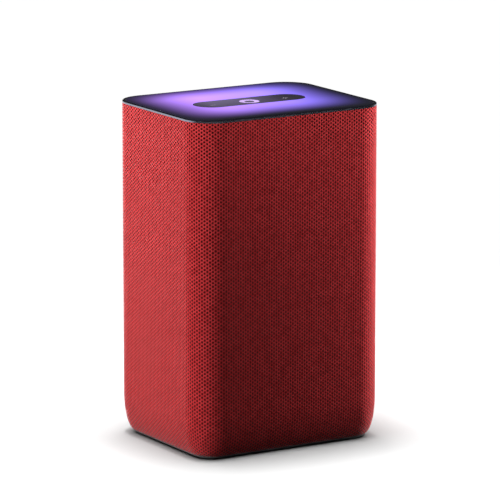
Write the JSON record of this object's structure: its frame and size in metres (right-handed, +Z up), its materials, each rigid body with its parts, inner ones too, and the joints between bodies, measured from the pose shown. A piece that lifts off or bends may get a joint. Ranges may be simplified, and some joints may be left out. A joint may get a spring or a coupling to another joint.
{
  "type": "smart speaker",
  "caption": "Upright table-top smart speaker with a knitted sleeve, a lit glass top with press keys, sealed drivers and side radiators, and a rear power socket.",
  "frame": {"origin": "centre of the footprint, on the surface the speaker stands on", "axes": "+Z up; the wide front faces -Y, the power socket is on the back (+Y), and +X is to the right when the front is seen"},
  "size_m": [0.134, 0.108, 0.2105],
  "materials": {
    "red_knit": "open hex-mesh polyester knit, matt",
    "black_plastic": "moulded, fine texture",
    "base_plastic": "moulded, smooth",
    "foot_rubber": "matt",
    "trim_metal": "satin, blue-grey anodised",
    "smoked_glass": "polished, lit violet from below",
    "diffuser_white": "translucent",
    "keypad_grey": "soft-touch",
    "key_grey": "soft-touch",
    "ring_light": "translucent, lit",
    "silicone": "matt",
    "soft_rubber": "matt",
    "board_green": "solder mask",
    "led_white": "moulded, lit",
    "mic_gold": "plated",
    "screw_steel": "zinc plated",
    "plated_steel": "zinc plated",
    "ferrite": "sintered, dark grey",
    "coil_copper": "enamelled winding",
    "amber_cloth": "impregnated, corrugated",
    "cone_paper": "pressed pulp",
    "grey_foam": "open-cell wadding",
    "red_wire": "insulated wire",
    "flat_cable": "flat cable",
    "sink_metal": "extruded",
    "slider_red": "moulded"
  },
  "bodies": {
    "enclosure": {"fabric_sleeve": "red_knit", "grille_shell": "black_plastic", "base_plate": "base_plastic", "foot_ring": "foot_rubber", "base_screws": "screw_steel", "top_trim": "trim_metal", "top_glass": "smoked_glass", "light_diffuser": "diffuser_white", "keypad_plate": "keypad_grey", "dome_mat": "silicone", "top_board": "board_green", "status_leds": "led_white", "microphones": "mic_gold", "mic_boots": "soft_rubber", "top_board_screws": "screw_steel", "top_deck": "black_plastic", "deck_screws": "screw_steel", "cabinet": "black_plastic", "cabinet_gasket": "soft_rubber", "cabinet_lid": "black_plastic", "lid_screws": "screw_steel", "lid_grommet": "soft_rubber", "damping_foam": "grey_foam", "woofer_basket": "black_plastic", "woofer_gasket": "soft_rubber", "woofer_top_plate": "plated_steel", "woofer_magnet": "ferrite", "woofer_yoke": "plated_steel", "woofer_spider": "amber_cloth", "woofer_surround": "soft_rubber", "woofer_screws": "screw_steel", "woofer_leads": "red_wire", "left_radiator_frame": "black_plastic", "left_radiator_surround": "soft_rubber", "right_radiator_frame": "black_plastic", "right_radiator_surround": "soft_rubber", "radiator_screws": "screw_steel", "upper_baffle": "black_plastic", "left_tweeter_motor": "ferrite", "right_tweeter_motor": "ferrite", "main_board": "board_green", "heat_sink": "sink_metal", "ribbon_cable": "flat_cable", "power_board": "board_green", "board_screws": "screw_steel", "dc_inlet": "black_plastic", "rear_panel": "black_plastic", "mute_switch": "plated_steel"},
    "volume_down": {"volume_down_key": "key_grey"},
    "action": {"action_key": "key_grey", "action_light_ring": "ring_light"},
    "volume_up": {"volume_up_key": "key_grey"},
    "woofer_cone": {"woofer_cone": "cone_paper", "woofer_dust_cap": "cone_paper", "woofer_voice_coil": "coil_copper"},
    "left_radiator": {"left_radiator_plate": "cone_paper"},
    "right_radiator": {"right_radiator_plate": "cone_paper"},
    "left_tweeter": {"left_tweeter_dome": "amber_cloth"},
    "right_tweeter": {"right_tweeter_dome": "amber_cloth"},
    "mute_slider": {"mic_slider": "slider_red"}
  },
  "joints": [
    {"name": "volume_down_press", "type": "slide", "parent": "enclosure", "child": "volume_down", "axis": [0, 0, -1], "range_m": [0, 0.0008], "stiffness_N_per_m": 1800, "springref_m": -0.0003, "deforming": ["dome_mat"]},
    {"name": "action_press", "type": "slide", "parent": "enclosure", "child": "action", "axis": [0, 0, -1], "range_m": [0, 0.0008], "stiffness_N_per_m": 1800, "springref_m": -0.0003, "deforming": ["dome_mat"]},
    {"name": "volume_up_press", "type": "slide", "parent": "enclosure", "child": "volume_up", "axis": [0, 0, -1], "range_m": [0, 0.0008], "stiffness_N_per_m": 1800, "springref_m": -0.0003, "deforming": ["dome_mat"]},
    {"name": "woofer_travel", "type": "slide", "parent": "enclosure", "child": "woofer_cone", "axis": [0, -1, 0], "range_m": [-0.003, 0.003], "stiffness_N_per_m": 1000, "deforming": ["woofer_surround", "woofer_spider"]},
    {"name": "left_radiator_travel", "type": "slide", "parent": "enclosure", "child": "left_radiator", "axis": [-1, 0, 0], "range_m": [-0.0024, 0.0024], "stiffness_N_per_m": 500, "deforming": ["left_radiator_surround"]},
    {"name": "right_radiator_travel", "type": "slide", "parent": "enclosure", "child": "right_radiator", "axis": [1, 0, 0], "range_m": [-0.0024, 0.0024], "stiffness_N_per_m": 500, "deforming": ["right_radiator_surround"]},
    {"name": "left_tweeter_travel", "type": "slide", "parent": "enclosure", "child": "left_tweeter", "axis": [0, -1, 0], "range_m": [-0.0003, 0.0003], "stiffness_N_per_m": 3000},
    {"name": "right_tweeter_travel", "type": "slide", "parent": "enclosure", "child": "right_tweeter", "axis": [0, -1, 0], "range_m": [-0.0003, 0.0003], "stiffness_N_per_m": 3000},
    {"name": "mute_slide", "type": "slide", "parent": "enclosure", "child": "mute_slider", "axis": [1, 0, 0], "range_m": [0, 0.002]}
  ],
  "couplings": [
    {"joint": "left_radiator_travel", "follows": "woofer_travel", "ratio": -0.797},
    {"joint": "right_radiator_travel", "follows": "woofer_travel", "ratio": -0.797}
  ]
}
